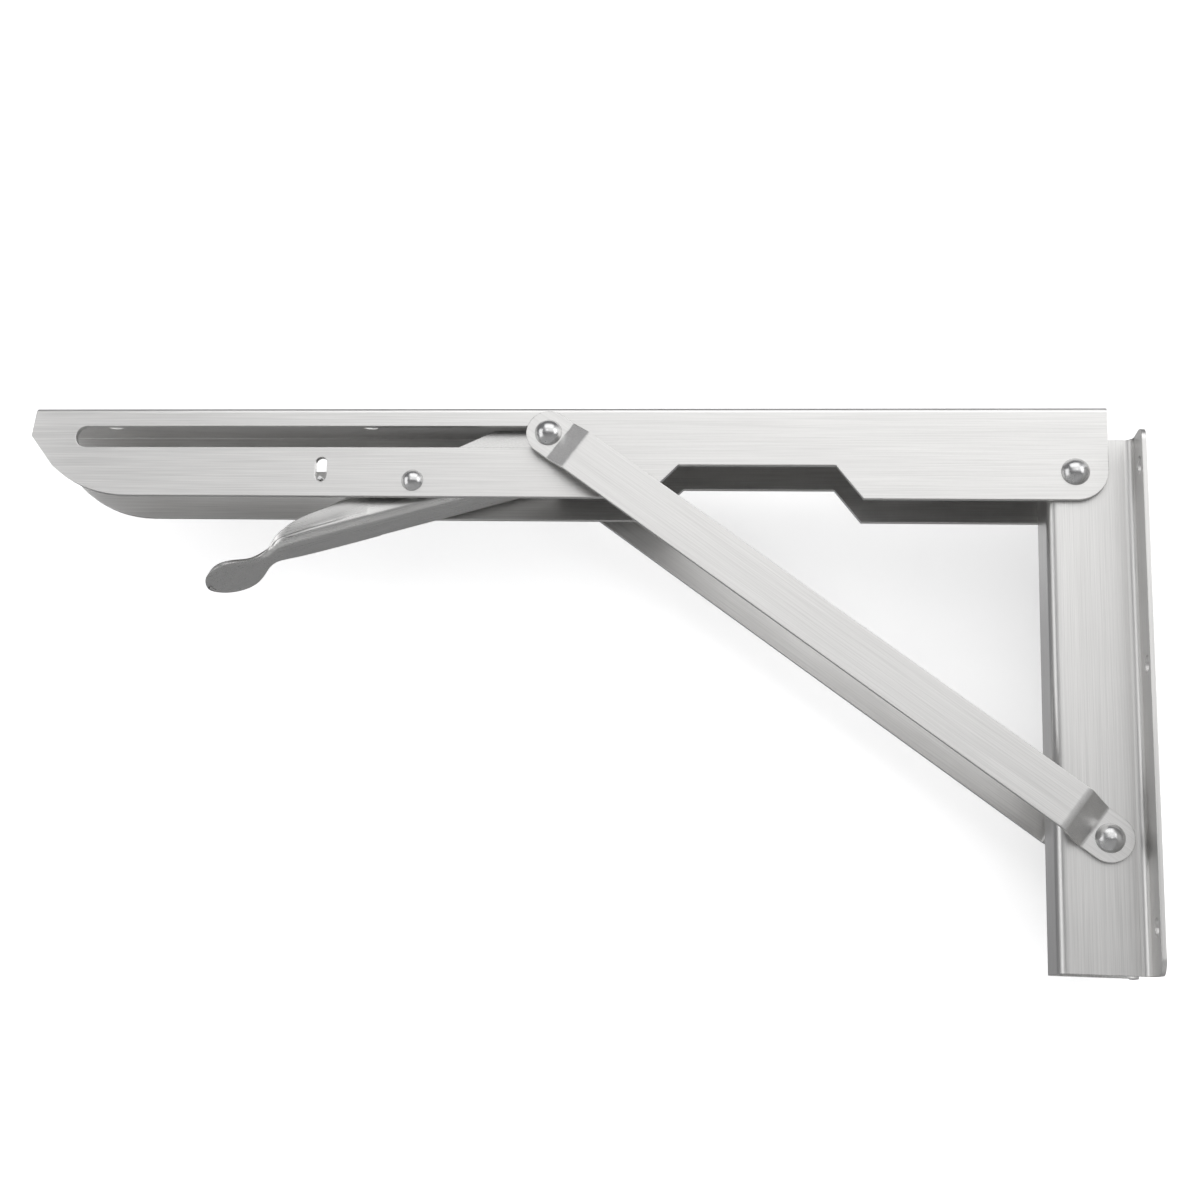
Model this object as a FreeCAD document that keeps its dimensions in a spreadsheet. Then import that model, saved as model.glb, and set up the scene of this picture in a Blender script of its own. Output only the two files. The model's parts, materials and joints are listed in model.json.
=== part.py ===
import FreeCAD, Part
import math
import os
import Sketcher

# Folding bracket for a drop leaf. X runs towards the wall, whose face is x = 0.
# Y runs across the bracket, with the near side at negative Y. Z is up, and z = 0
# is the middle height of the four corner screws in the wall channel's flanges.

# Driving sizes in millimetres and degrees.
SIZES = {
    # Arm, an inverted U under the leaf
    "arm_reach": 305.0,
    "arm_width": 23.5,
    "arm_height": 25.8,
    "arm_sheet": 1.5,
    "arm_bend_radius": 1.6,
    "tip_face_height": 8.4,
    "tip_face_slant": 0.8,
    "tip_cut_run": 7.0,
    "tip_cut_drop": 8.7,
    "tip_curve_radius": 34.0,
    "heel_radius": 8.2,
    "heel_overhang": 8.5,
    "notch_near_edge": 55.0,
    "notch_near_run": 7.4,
    "notch_flat": 42.2,
    "notch_far_run": 9.0,
    "notch_depth": 9.3,
    "leaf_hole_diameter": 5.0,
    "leaf_hole_tip_margin": 19.0,
    "leaf_hole_pitch": 76.0,
    # Hinge of the arm on the wall channel
    "hinge_to_wall": 16.2,
    "hinge_below_top": 18.1,
    "fold_angle": 83.5,
    # Wall channel, a hat section
    "channel_height": 138.4,
    "channel_above_hinge": 9.3,
    "channel_depth": 23.5,
    "channel_sheet": 1.2,
    "channel_corner_radius": 2.8,
    "flange_bend_radius": 2.3,
    "flange_span": 44.5,
    "flange_corner_radius": 4.0,
    "screw_hole_diameter": 4.6,
    "screw_spacing": 36.4,
    "screw_top_margin": 9.5,
    "screw_bottom_margin": 11.5,
    "screw_middle_drop": 62.0,
    # Struts, flat bars joggled beside both eyes
    "lower_pivot_drop": 95.7,
    "lower_pivot_offset": 5.9,
    "upper_pivot_reach": 139.9,
    "strut_width": 12.2,
    "strut_sheet": 1.5,
    "strut_standoff": 2.8,
    "upper_tab_reach": 4.2,
    "upper_joggle_run": 6.0,
    "lower_tab_reach": 5.0,
    "lower_joggle_run": 6.0,
    "strut_bend_radius": 1.8,
    # Slots in the arm and the pin that runs in them
    "slot_above_hinge": 9.5,
    "slot_pin_diameter": 6.0,
    "slot_play": 0.1,
    "slot_end_play": 0.2,
    "strut_washer_diameter": 9.0,
    "strut_washer_thickness": 1.9,
    "stud_collar_diameter": 8.4,
    "stud_collar_thickness": 1.2,
    # Rivets and sleeves
    "rivet_diameter": 4.6,
    "rivet_head_diameter": 7.4,
    "rivet_head_height": 2.4,
    "inner_head_diameter": 6.6,
    "inner_head_height": 1.0,
    "pivot_play": 0.05,
    "sleeve_diameter": 7.0,
    # Running gaps between flat faces
    "side_play": 0.15,
    "strut_play": 0.1,
    "cheek_play": 0.15,
    # Release lever
    "pin_to_lever_pivot": 37.7,
    "lever_pivot_drop": 3.1,
    "lever_width": 14.8,
    "lever_sheet": 1.2,
    "lever_corner_radius": 2.6,
    "lever_rivet_diameter": 4.0,
    "lever_head_diameter": 6.1,
    "lever_head_height": 1.8,
    "lever_spacer_diameter": 7.0,
    "latch_play": 0.15,
    "nose_rise": 15.9,
    "nose_flat": 11.4,
    "nose_ramp_run": 20.5,
    "nose_ramp_drop": 9.9,
    "handle_slope_angle": 15.8,
    "handle_depth": 7.2,
    "handle_run": 39.5,
    "latch_low_angle": 4.0,
    "toe_setback": 6.0,
    "ear_setback": 4.5,
    "ear_rise": 5.2,
    "cheek_middle_reach": 21.7,
    "cheek_middle_height": 8.4,
    "cheek_late_reach": 32.4,
    "cheek_late_height": 6.8,
    "cheek_end_height": 4.1,
    "neck_run": 5.0,
    "neck_drop": 1.5,
    "neck_lip": 0.7,
    "neck_lap": 4.0,
    "neck_bend_radius": 4.0,
    "neck_slope_angle": 36.0,
    "paddle_slope_angle": 24.0,
    "paddle_length": 16.4,
    "paddle_width": 24.6,
    "neck_width": 9.6,
    "neck_flare_run": 3.3,
    "neck_flare_width": 20.2,
    # Return spring and the oval hole for its end
    "spring_wire": 1.2,
    "spring_radius": 3.2,
    "spring_whole_turns": 4.0,
    "spring_pitch": 1.35,
    "spring_bend_radius": 1.5,
    "spring_play": 0.2,
    "spring_rest_reach": 20.0,
    "spring_hole_offset": 26.0,
    "spring_hole_width": 3.3,
    "spring_hole_height": 7.0,
    "spring_end_proud": 0.7,
}

# Screw holes in the arm's web, and how far a cut runs past the face it opens.
LEAF_HOLES = 4
CUT_SPARE = 1.0

doc = FreeCAD.newDocument("FoldingBracket")
sheet = doc.addObject("Spreadsheet::Sheet", "Sizes")
for row, (name, value) in enumerate(SIZES.items(), start=1):
    sheet.set("A%d" % row, name)
    sheet.set("B%d" % row, str(value))
    sheet.setAlias("B%d" % row, name)
doc.recompute()


def size(name):
    """Return one driving size from the sheet."""
    return float(sheet.get(name))


def bind(feature, prop, formula):
    """Tie a property of a feature to the sheet."""
    feature.setExpression(prop, formula)


# Places that follow from the driving sizes. The side view is measured from the
# hinge axis, as (towards the wall, up).
LOWER_PIVOT = (size("lower_pivot_offset"), -size("lower_pivot_drop"))
UPPER_PIVOT = (-size("upper_pivot_reach"), size("slot_above_hinge"))
LEVER_PIVOT = (UPPER_PIVOT[0] - size("pin_to_lever_pivot"), -size("lever_pivot_drop"))
STRUT_LENGTH = math.dist(LOWER_PIVOT, UPPER_PIVOT)
CHANNEL_TOP = size("channel_above_hinge")
CHANNEL_BOTTOM = CHANNEL_TOP - size("channel_height")
SCREW_TOP = CHANNEL_TOP - size("screw_top_margin")
SCREW_BOTTOM = CHANNEL_BOTTOM + size("screw_bottom_margin")
HINGE_X = -size("hinge_to_wall")
HINGE_Z = -(SCREW_TOP + SCREW_BOTTOM) / 2

# Layers across the bracket, as distances from its middle plane.
ARM_OUTER = size("arm_width") / 2
ARM_INNER = ARM_OUTER - size("arm_sheet")
CHANNEL_OUTER = ARM_INNER - size("side_play")
CHANNEL_INNER = CHANNEL_OUTER - size("channel_sheet")
WASHER_INNER = ARM_OUTER + size("strut_play")
WASHER_OUTER = WASHER_INNER + size("strut_washer_thickness")
UPPER_TAB = WASHER_OUTER + size("strut_play")
LOWER_TAB = CHANNEL_OUTER + size("strut_play")
STRUT_MIDDLE = UPPER_TAB + size("strut_standoff")
CHEEK_OUTER = size("lever_width") / 2
CHEEK_INNER = CHEEK_OUTER - size("lever_sheet")


def folded_reach():
    """Distance of the slot pin from the hinge, along the arm, when folded."""
    fold = math.radians(size("fold_angle"))
    bx, bz = LOWER_PIVOT
    rise = size("slot_above_hinge")
    along = math.cos(fold) * bx + math.sin(fold) * bz
    across = -math.sin(fold) * bx + math.cos(fold) * bz
    rest = rise ** 2 + bx ** 2 + bz ** 2 - 2 * rise * across - STRUT_LENGTH ** 2
    return -along + math.sqrt(along ** 2 - rest)


FOLDED_REACH = folded_reach()


def world(point, y=0.0):
    """Turn a side-view point from the hinge axis into a place in the part's frame."""
    return FreeCAD.Vector(HINGE_X + point[0], y, HINGE_Z + point[1])


def rounded_outline(points, radii):
    """Edges of a closed outline whose corners are rounded by the given radii."""
    corners = [FreeCAD.Vector(*point, 0) for point in points]
    count = len(corners)
    starts, ends, arcs = [], [], []
    for index, corner in enumerate(corners):
        before = (corners[index - 1] - corner).normalize()
        after = (corners[(index + 1) % count] - corner).normalize()
        radius = radii[index]
        if radius <= 0:
            starts.append(corner)
            ends.append(corner)
            arcs.append(None)
            continue
        half = before.getAngle(after) / 2
        back = radius / math.tan(half)
        start = corner + before * back
        end = corner + after * back
        centre = corner + (before + after).normalize() * (radius / math.sin(half))
        middle = centre + (corner - centre).normalize() * radius
        starts.append(start)
        ends.append(end)
        arcs.append(Part.Arc(start, middle, end))
    edges = []
    for index in range(count):
        if arcs[index] is not None:
            edges.append(arcs[index])
        following = starts[(index + 1) % count]
        if (following - ends[index]).Length > 1e-6:
            edges.append(Part.LineSegment(ends[index], following))
    return edges


def turn_side(a, b, c):
    """Positive where the path a, b, c turns left."""
    return (b[0] - a[0]) * (c[1] - b[1]) - (b[1] - a[1]) * (c[0] - b[0])


def offset_path(path, shift):
    """Move an open path sideways, to the left for a positive shift."""
    moved = []
    for index, point in enumerate(path):
        before = path[max(index - 1, 0)]
        after = path[min(index + 1, len(path) - 1)]
        first = point if index == 0 else before
        second = after if index == 0 else point
        angle_in = math.atan2(second[1] - first[1], second[0] - first[0])
        first = before if index == len(path) - 1 else point
        second = point if index == len(path) - 1 else after
        angle_out = math.atan2(second[1] - first[1], second[0] - first[0])
        middle = (angle_in + angle_out) / 2
        if abs(angle_in - angle_out) > math.pi:
            middle += math.pi
        reach = shift / math.cos((angle_out - angle_in) / 2)
        moved.append((point[0] - math.sin(middle) * reach, point[1] + math.cos(middle) * reach))
    return moved


def bent_strip(path, bend_radii, thickness):
    """Closed outline of a strip bent along a path, with its mid-surface bend radii."""
    half = thickness / 2
    left_radii, right_radii = [0.0], [0.0]
    for index, radius in enumerate(bend_radii, start=1):
        left_turn = turn_side(path[index - 1], path[index], path[index + 1]) > 0
        left_radii.append(radius - half if left_turn else radius + half)
        right_radii.append(radius + half if left_turn else radius - half)
    left_radii.append(0.0)
    right_radii.append(0.0)
    points = offset_path(path, half) + offset_path(path, -half)[::-1]
    return rounded_outline(points, left_radii + right_radii[::-1])


def new_body(label, placement):
    """Start a body with its own label and place."""
    body = doc.addObject("PartDesign::Body", label)
    body.Label = label
    body.Placement = placement
    return body


def new_sketch(body, role, edges, shift=0.0):
    """Draw edges on one of the body's origin planes, moved along its normal."""
    sketch = body.newObject("Sketcher::SketchObject", body.Name + "_sketch")
    plane = [item for item in body.Origin.OriginFeatures if item.Role == role][0]
    sketch.AttachmentSupport = [(plane, "")]
    sketch.MapMode = "FlatFace"
    sketch.AttachmentOffset = FreeCAD.Placement(FreeCAD.Vector(0, 0, shift), FreeCAD.Rotation())
    for edge in edges:
        sketch.addGeometry(edge, False)
    for index in range(sketch.GeometryCount):
        sketch.addConstraint(Sketcher.Constraint("Block", index))
    return sketch


def pad(body, sketch, length_formula):
    """Pad a sketch to both sides of its plane."""
    feature = body.newObject("PartDesign::Pad", body.Name + "_pad")
    feature.Profile = sketch
    feature.Midplane = True
    bind(feature, "Length", length_formula)
    doc.recompute()
    return feature


def cut_through(body, sketch):
    """Cut a sketch right through the body, to both sides of its plane."""
    before = body.Shape.Volume
    feature = body.newObject("PartDesign::Pocket", body.Name + "_cut")
    feature.Profile = sketch
    feature.Type = "ThroughAll"
    feature.Midplane = True
    doc.recompute()
    if body.Shape.Volume >= before:
        raise ValueError("a cut in %s removed nothing" % body.Label)
    return feature


def cut_one_way(body, sketch, length_formula, reverse=False):
    """Cut a sketch to a given depth on one side of its plane."""
    before = body.Shape.Volume
    feature = body.newObject("PartDesign::Pocket", body.Name + "_cut")
    feature.Profile = sketch
    feature.Reversed = reverse
    bind(feature, "Length", length_formula)
    doc.recompute()
    if body.Shape.Volume >= before:
        raise ValueError("a cut in %s removed nothing" % body.Label)
    return feature


def circle(point, diameter):
    """Circle in a sketch."""
    return Part.Circle(FreeCAD.Vector(point[0], point[1], 0), FreeCAD.Vector(0, 0, 1), diameter / 2)


def slot_outline(first, second, width):
    """Outline of a slot with round ends, along the line between two centres."""
    start = FreeCAD.Vector(*first, 0)
    end = FreeCAD.Vector(*second, 0)
    along = (end - start).normalize()
    side = FreeCAD.Vector(-along.y, along.x, 0) * (width / 2)
    tip = along * (width / 2)
    return [
        Part.LineSegment(start + side, end + side),
        Part.Arc(end + side, end + tip, end - side),
        Part.LineSegment(end - side, start - side),
        Part.Arc(start - side, start - tip, start + side),
    ]


def rectangle(low, high):
    """Outline of an upright rectangle."""
    points = [(low[0], low[1]), (high[0], low[1]), (high[0], high[1]), (low[0], high[1])]
    return rounded_outline(points, [0.0] * 4)


def arm_outline():
    """Side view of the arm, from the hinge axis."""
    top = size("hinge_below_top")
    bottom = top - size("arm_height")
    heel = size("heel_overhang")
    tip = -(size("arm_reach") - size("hinge_to_wall"))
    vertex = (tip, top - size("tip_face_height"))
    cut_end = (tip + size("tip_cut_run"), vertex[1] - size("tip_cut_drop"))
    radius = size("tip_curve_radius")
    sweep = math.acos(1 - (cut_end[1] - bottom) / radius)
    centre = FreeCAD.Vector(cut_end[0] + radius * math.sin(sweep), bottom + radius, 0)
    curve_end = FreeCAD.Vector(centre.x, bottom, 0)
    curve_middle = centre + FreeCAD.Vector(-math.sin(sweep / 2), -math.cos(sweep / 2), 0) * radius
    cut_corner = FreeCAD.Vector(*cut_end, 0)
    heel_radius = size("heel_radius")
    heel_centre = FreeCAD.Vector(heel - heel_radius, bottom + heel_radius, 0)
    heel_low = FreeCAD.Vector(heel_centre.x, bottom, 0)
    heel_middle = heel_centre + FreeCAD.Vector(1, -1, 0).normalize() * heel_radius
    heel_high = FreeCAD.Vector(heel, heel_centre.y, 0)
    top_heel = FreeCAD.Vector(heel, top, 0)
    top_tip = FreeCAD.Vector(tip + size("tip_face_slant"), top, 0)
    return [
        Part.LineSegment(top_heel, top_tip),
        Part.LineSegment(top_tip, FreeCAD.Vector(*vertex, 0)),
        Part.LineSegment(FreeCAD.Vector(*vertex, 0), cut_corner),
        Part.Arc(cut_corner, curve_middle, curve_end),
        Part.LineSegment(curve_end, heel_low),
        Part.Arc(heel_low, heel_middle, heel_high),
        Part.LineSegment(heel_high, top_heel),
    ]


def long_edges(shape, height, side):
    """Names of the straight edges along X at a height and a distance to the side."""
    names = []
    for index, edge in enumerate(shape.Edges, start=1):
        ends = [vertex.Point for vertex in edge.Vertexes]
        at_height = all(abs(point.z - height) < 1e-4 for point in ends)
        at_side = all(abs(abs(point.y) - side) < 1e-4 for point in ends)
        if len(ends) == 2 and at_height and at_side and abs(ends[0].x - ends[1].x) > 1:
            names.append("Edge%d" % index)
    return names


def make_arm():
    """Arm channel with its slots, notches and holes."""
    top = size("hinge_below_top")
    bottom = top - size("arm_height")
    body = new_body("arm_channel", FreeCAD.Placement(world((0, 0)), FreeCAD.Rotation()))
    block = pad(body, new_sketch(body, "XZ_Plane", arm_outline()), "Sizes.arm_width")
    bend = body.newObject("PartDesign::Fillet", "arm_channel_bends")
    bend.Base = (block, long_edges(block.Shape, top, ARM_OUTER))
    bind(bend, "Radius", "Sizes.arm_bend_radius")
    doc.recompute()
    inner_top = top - size("arm_sheet")
    inner_radius = size("arm_bend_radius") - size("arm_sheet")
    below = bottom - CUT_SPARE
    hollow = rounded_outline(
        [(-ARM_INNER, below), (ARM_INNER, below), (ARM_INNER, inner_top), (-ARM_INNER, inner_top)],
        [0.0, 0.0, inner_radius, inner_radius])
    cut_through(body, new_sketch(body, "YZ_Plane", hollow))
    slot_width = size("slot_pin_diameter") + 2 * size("slot_play")
    slot = slot_outline(
        (-FOLDED_REACH - size("slot_end_play"), size("slot_above_hinge")),
        (UPPER_PIVOT[0] + size("slot_end_play"), size("slot_above_hinge")), slot_width)
    cut_through(body, new_sketch(body, "XZ_Plane", slot))
    near_edge = -size("notch_near_edge")
    near_top = near_edge - size("notch_near_run")
    far_top = near_top - size("notch_flat")
    far_edge = far_top - size("notch_far_run")
    roof = bottom + size("notch_depth")
    notch = rounded_outline(
        [(near_edge, below), (near_edge, bottom), (near_top, roof), (far_top, roof), (far_edge, bottom),
         (far_edge, below)], [0.0] * 6)
    cut_through(body, new_sketch(body, "XZ_Plane", notch))
    pivots = [
        circle((0, 0), size("rivet_diameter") + 2 * size("pivot_play")),
        circle(LEVER_PIVOT, size("lever_rivet_diameter") + 2 * size("pivot_play")),
    ]
    cut_through(body, new_sketch(body, "XZ_Plane", pivots))
    cut_one_way(body, new_sketch(body, "XZ_Plane", spring_hole()), "Sizes.arm_width", reverse=True)
    first = -(size("arm_reach") - size("hinge_to_wall")) + size("leaf_hole_tip_margin")
    holes = []
    for step in range(LEAF_HOLES):
        holes.append(circle((first + step * size("leaf_hole_pitch"), 0), size("leaf_hole_diameter")))
    cut_through(body, new_sketch(body, "XY_Plane", holes))
    return body


def spring_hole():
    """Upright oval hole in the near wall of the arm, for the end of the spring."""
    centre_x = LEVER_PIVOT[0] - size("spring_hole_offset")
    reach = (size("spring_hole_height") - size("spring_hole_width")) / 2
    return slot_outline((centre_x, -reach), (centre_x, reach), size("spring_hole_width"))


def make_wall_channel():
    """Wall channel, bent from one sheet, with its screw holes."""
    sheet_half = size("channel_sheet") / 2
    side = CHANNEL_OUTER - sheet_half
    edge = size("flange_span") / 2
    front = -size("channel_depth") + sheet_half
    path = [
        (-sheet_half, -edge), (-sheet_half, -side), (front, -side),
        (front, side), (-sheet_half, side), (-sheet_half, edge)]
    flange_bend = size("flange_bend_radius") + sheet_half
    corner_bend = size("channel_corner_radius") - sheet_half
    section = bent_strip(path, [flange_bend, corner_bend, corner_bend, flange_bend], size("channel_sheet"))
    middle_height = HINGE_Z + (CHANNEL_TOP + CHANNEL_BOTTOM) / 2
    middle = FreeCAD.Vector(0, 0, middle_height)
    body = new_body("wall_channel", FreeCAD.Placement(middle, FreeCAD.Rotation()))
    pad(body, new_sketch(body, "XY_Plane", section), "Sizes.channel_height")
    half = size("channel_height") / 2
    corners = []
    for across in (-1, 1):
        for up in (-1, 1):
            corners += corner_waste(across * edge, up * half, across, up, size("flange_corner_radius"))
    flange_holes = []
    for height in (SCREW_TOP, CHANNEL_TOP - size("screw_middle_drop"), SCREW_BOTTOM):
        for across in (-1, 1):
            place = (across * size("screw_spacing") / 2, HINGE_Z + height - middle_height)
            flange_holes.append(circle(place, size("screw_hole_diameter")))
    cut_through(body, new_sketch(body, "YZ_Plane", corners))
    cut_through(body, new_sketch(body, "YZ_Plane", flange_holes))
    pivot_size = size("rivet_diameter") + 2 * size("pivot_play")
    pivots = []
    for point in ((0, 0), LOWER_PIVOT):
        pivots.append(circle((HINGE_X + point[0], HINGE_Z + point[1] - middle_height), pivot_size))
    cut_through(body, new_sketch(body, "XZ_Plane", pivots))
    return body


def corner_waste(x, y, across, up, radius):
    """Outline of what a rounded corner loses, with a little to spare outside."""
    spare = CUT_SPARE
    centre = FreeCAD.Vector(x - across * radius, y - up * radius, 0)
    start = FreeCAD.Vector(x, y - up * radius, 0)
    end = FreeCAD.Vector(x - across * radius, y, 0)
    middle = centre + FreeCAD.Vector(across, up, 0).normalize() * radius
    outer = [
        start,
        start + FreeCAD.Vector(across * spare, 0, 0),
        FreeCAD.Vector(x + across * spare, y + up * spare, 0),
        end + FreeCAD.Vector(0, up * spare, 0),
        end,
    ]
    edges = [Part.LineSegment(outer[step], outer[step + 1]) for step in range(4)]
    return edges + [Part.Arc(end, middle, start)]


def make_strut(label, side):
    """One strut. Its own X runs from the lower eye to the upper eye."""
    half = size("strut_sheet") / 2
    lower = LOWER_TAB + half
    middle = STRUT_MIDDLE + half
    upper = UPPER_TAB + half
    ends = size("strut_width") / 2
    length = STRUT_LENGTH
    lower_end = size("lower_tab_reach")
    upper_end = length - size("upper_tab_reach")
    path = [
        (-ends, -lower), (lower_end, -lower), (lower_end + size("lower_joggle_run"), -middle),
        (upper_end - size("upper_joggle_run"), -middle), (upper_end, -upper), (length + ends, -upper)]
    section = bent_strip(path, [size("strut_bend_radius")] * 4, size("strut_sheet"))
    rise = UPPER_PIVOT[1] - LOWER_PIVOT[1]
    slope = math.degrees(math.atan2(rise, UPPER_PIVOT[0] - LOWER_PIVOT[0]))
    tilt = FreeCAD.Rotation(FreeCAD.Vector(0, -1, 0), slope)
    if side > 0:
        tilt = tilt.multiply(FreeCAD.Rotation(FreeCAD.Vector(1, 0, 0), 180))
    body = new_body(label, FreeCAD.Placement(world(LOWER_PIVOT), tilt))
    pad(body, new_sketch(body, "XY_Plane", section), "Sizes.strut_width")
    margin = size("strut_width")
    waste = rectangle((-ends - margin, -ends - margin), (length + ends + margin, ends + margin))
    waste += slot_outline((0, 0), (length, 0), size("strut_width"))
    cut_through(body, new_sketch(body, "XZ_Plane", waste))
    eye = size("rivet_diameter") + 2 * size("pivot_play")
    cut_through(body, new_sketch(body, "XZ_Plane", [circle((0, 0), eye), circle((length, 0), eye)]))
    return body


def dome(radius, height, base, outward):
    """Edges of a domed head's half section, from its rim to the axis."""
    tip = base + outward * height
    bulge = (radius ** 2 + height ** 2) / (2 * height)
    centre_y = tip - outward * bulge
    half_angle = math.asin(min(radius / bulge, 1.0)) / 2
    middle_y = centre_y + outward * bulge * math.cos(half_angle)
    middle = FreeCAD.Vector(bulge * math.sin(half_angle), middle_y, 0)
    return Part.Arc(FreeCAD.Vector(radius, base, 0), middle, FreeCAD.Vector(0, tip, 0))


def turned(label, place, profile):
    """Turn a half section, drawn as (radius, distance along Y), about a pivot axis."""
    body = new_body(label, FreeCAD.Placement(place, FreeCAD.Rotation()))
    sketch = new_sketch(body, "XY_Plane", profile)
    feature = body.newObject("PartDesign::Revolution", label + "_turn")
    feature.Profile = sketch
    feature.ReferenceAxis = (sketch, ["V_Axis"])
    feature.Angle = 360
    doc.recompute()
    return body


def lines(points):
    """Line segments through a list of section points."""
    spots = [FreeCAD.Vector(point[0], point[1], 0) for point in points]
    return [Part.LineSegment(spots[step], spots[step + 1]) for step in range(len(spots) - 1)]


def through_rivet(label, point, shank, head, height):
    """Rivet across the whole arm with a domed head on each side."""
    radius = head / 2
    stem = shank / 2
    profile = [dome(radius, height, ARM_OUTER, 1)]
    profile += lines([(radius, ARM_OUTER), (stem, ARM_OUTER), (stem, -ARM_OUTER), (radius, -ARM_OUTER)])
    profile += [dome(radius, height, -ARM_OUTER, -1)]
    profile += lines([(0, -ARM_OUTER - height), (0, ARM_OUTER + height)])
    return turned(label, world(point), profile)


def lower_rivet(label, side):
    """Rivet that holds a strut on the wall channel, headed inside the channel."""
    radius = size("rivet_head_diameter") / 2
    stem = size("rivet_diameter") / 2
    button = size("inner_head_diameter") / 2
    outside = side * (LOWER_TAB + size("strut_sheet"))
    inside = side * CHANNEL_INNER
    back = side * (CHANNEL_INNER - size("inner_head_height"))
    profile = [dome(radius, size("rivet_head_height"), outside, side)]
    profile += lines([
        (radius, outside), (stem, outside), (stem, inside), (button, inside), (button, back), (0, back),
        (0, outside + side * size("rivet_head_height"))])
    return turned(label, world(LOWER_PIVOT), profile)


def upper_rivet(label, side):
    """Head and stem in a strut's upper eye, flush with the strut's inner face."""
    radius = size("rivet_head_diameter") / 2
    stem = size("rivet_diameter") / 2
    outside = side * (UPPER_TAB + size("strut_sheet"))
    inside = side * UPPER_TAB
    profile = [dome(radius, size("rivet_head_height"), outside, side)]
    profile += lines([
        (radius, outside), (stem, outside), (stem, inside), (0, inside),
        (0, outside + side * size("rivet_head_height"))])
    return turned(label, world(UPPER_PIVOT), profile)


def slot_stud(label, side):
    """Stud in the arm's slot, with a collar inside the wall and room for a washer outside."""
    radius = size("slot_pin_diameter") / 2
    collar = size("stud_collar_diameter") / 2
    outside = side * WASHER_OUTER
    collar_outer = side * (ARM_INNER - size("strut_play"))
    collar_inner = collar_outer - side * size("stud_collar_thickness")
    inside = side * (CHEEK_OUTER + size("cheek_play"))
    profile = lines([
        (0, outside), (radius, outside), (radius, collar_outer), (collar, collar_outer),
        (collar, collar_inner), (radius, collar_inner), (radius, inside), (0, inside), (0, outside)])
    return turned(label, world(UPPER_PIVOT), profile)


def ring(label, point, outer, inner, low, high):
    """Plain ring or sleeve about a pivot axis."""
    profile = lines([
        (inner / 2, low), (outer / 2, low), (outer / 2, high), (inner / 2, high), (inner / 2, low)])
    return turned(label, world(point), profile)


def make_crossbar():
    """Middle of the slot pin, between the cheeks of the lever."""
    radius = size("slot_pin_diameter") / 2
    reach = CHEEK_INNER - size("cheek_play")
    profile = lines([(0, -reach), (radius, -reach), (radius, reach), (0, reach), (0, -reach)])
    return turned("latch_crossbar", world(UPPER_PIVOT), profile)


def lever_frame():
    """Key points of the lever's side view, from the lever's rivet."""
    slope = math.tan(math.radians(size("handle_slope_angle")))
    depth = size("handle_depth") / math.cos(math.radians(size("handle_slope_angle")))
    pin = (UPPER_PIVOT[0] - LEVER_PIVOT[0], UPPER_PIVOT[1] - LEVER_PIVOT[1])
    latch_radius = math.hypot(*pin) - size("slot_pin_diameter") / 2 - size("latch_play")
    return slope, depth, latch_radius


def under_line(x):
    """Height of the handle's underside below or above the lever's rivet."""
    slope, depth, _ = lever_frame()
    return -depth + slope * x


def extrude_xz(edges, y_low, y_high):
    """Solid between two Y values from edges drawn in side view."""
    wire = Part.Wire([edge.toShape() for edge in edges])
    turned_up = wire.copy()
    turned_up.rotate(FreeCAD.Vector(0, 0, 0), FreeCAD.Vector(1, 0, 0), 90)
    turned_up.translate(FreeCAD.Vector(0, y_low, 0))
    return Part.Face(turned_up).extrude(FreeCAD.Vector(0, y_high - y_low, 0))


def latch_point(radius, angle):
    """Point on the latch face, an arc about the lever's rivet."""
    return FreeCAD.Vector(radius * math.cos(angle), radius * math.sin(angle), 0)


def edge_point(reach, height):
    """Point above the handle's underside, at a distance left of the rivet."""
    return FreeCAD.Vector(-reach, under_line(-reach) + height, 0)


def cheek_outline():
    """Side view of the lever's cheeks: nose, pivot ear, handle edge and neck."""
    latch_radius = lever_frame()[2]
    low_angle = math.radians(size("latch_low_angle"))
    high_angle = math.asin(size("nose_rise") / latch_radius)
    latch_low = latch_point(latch_radius, low_angle)
    latch_middle = latch_point(latch_radius, (low_angle + high_angle) / 2)
    latch_top = latch_point(latch_radius, high_angle)
    nose_left = latch_top - FreeCAD.Vector(size("nose_flat"), 0, 0)
    ramp_end = nose_left - FreeCAD.Vector(size("nose_ramp_run"), size("nose_ramp_drop"), 0)
    ear_top = FreeCAD.Vector(-size("ear_setback"), size("ear_rise"), 0)
    run = size("handle_run")
    neck_low = edge_point(run, 0) - FreeCAD.Vector(size("neck_run"), size("neck_drop"), 0)
    neck_high = neck_low + FreeCAD.Vector(0, size("neck_lip"), 0)
    edge = Part.BSplineCurve()
    edge.interpolate([
        ramp_end, ear_top, edge_point(size("cheek_middle_reach"), size("cheek_middle_height")),
        edge_point(size("cheek_late_reach"), size("cheek_late_height")),
        edge_point(run, size("cheek_end_height")), neck_high])
    heel = edge_point(run, 0)
    toe = edge_point(size("toe_setback") - latch_low.x, 0)
    return [
        Part.Arc(latch_low, latch_middle, latch_top),
        Part.LineSegment(latch_top, nose_left),
        Part.LineSegment(nose_left, ramp_end),
        edge,
        Part.LineSegment(neck_high, neck_low),
        Part.LineSegment(neck_low, heel),
        Part.LineSegment(heel, toe),
        Part.LineSegment(toe, latch_low),
    ]


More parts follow.
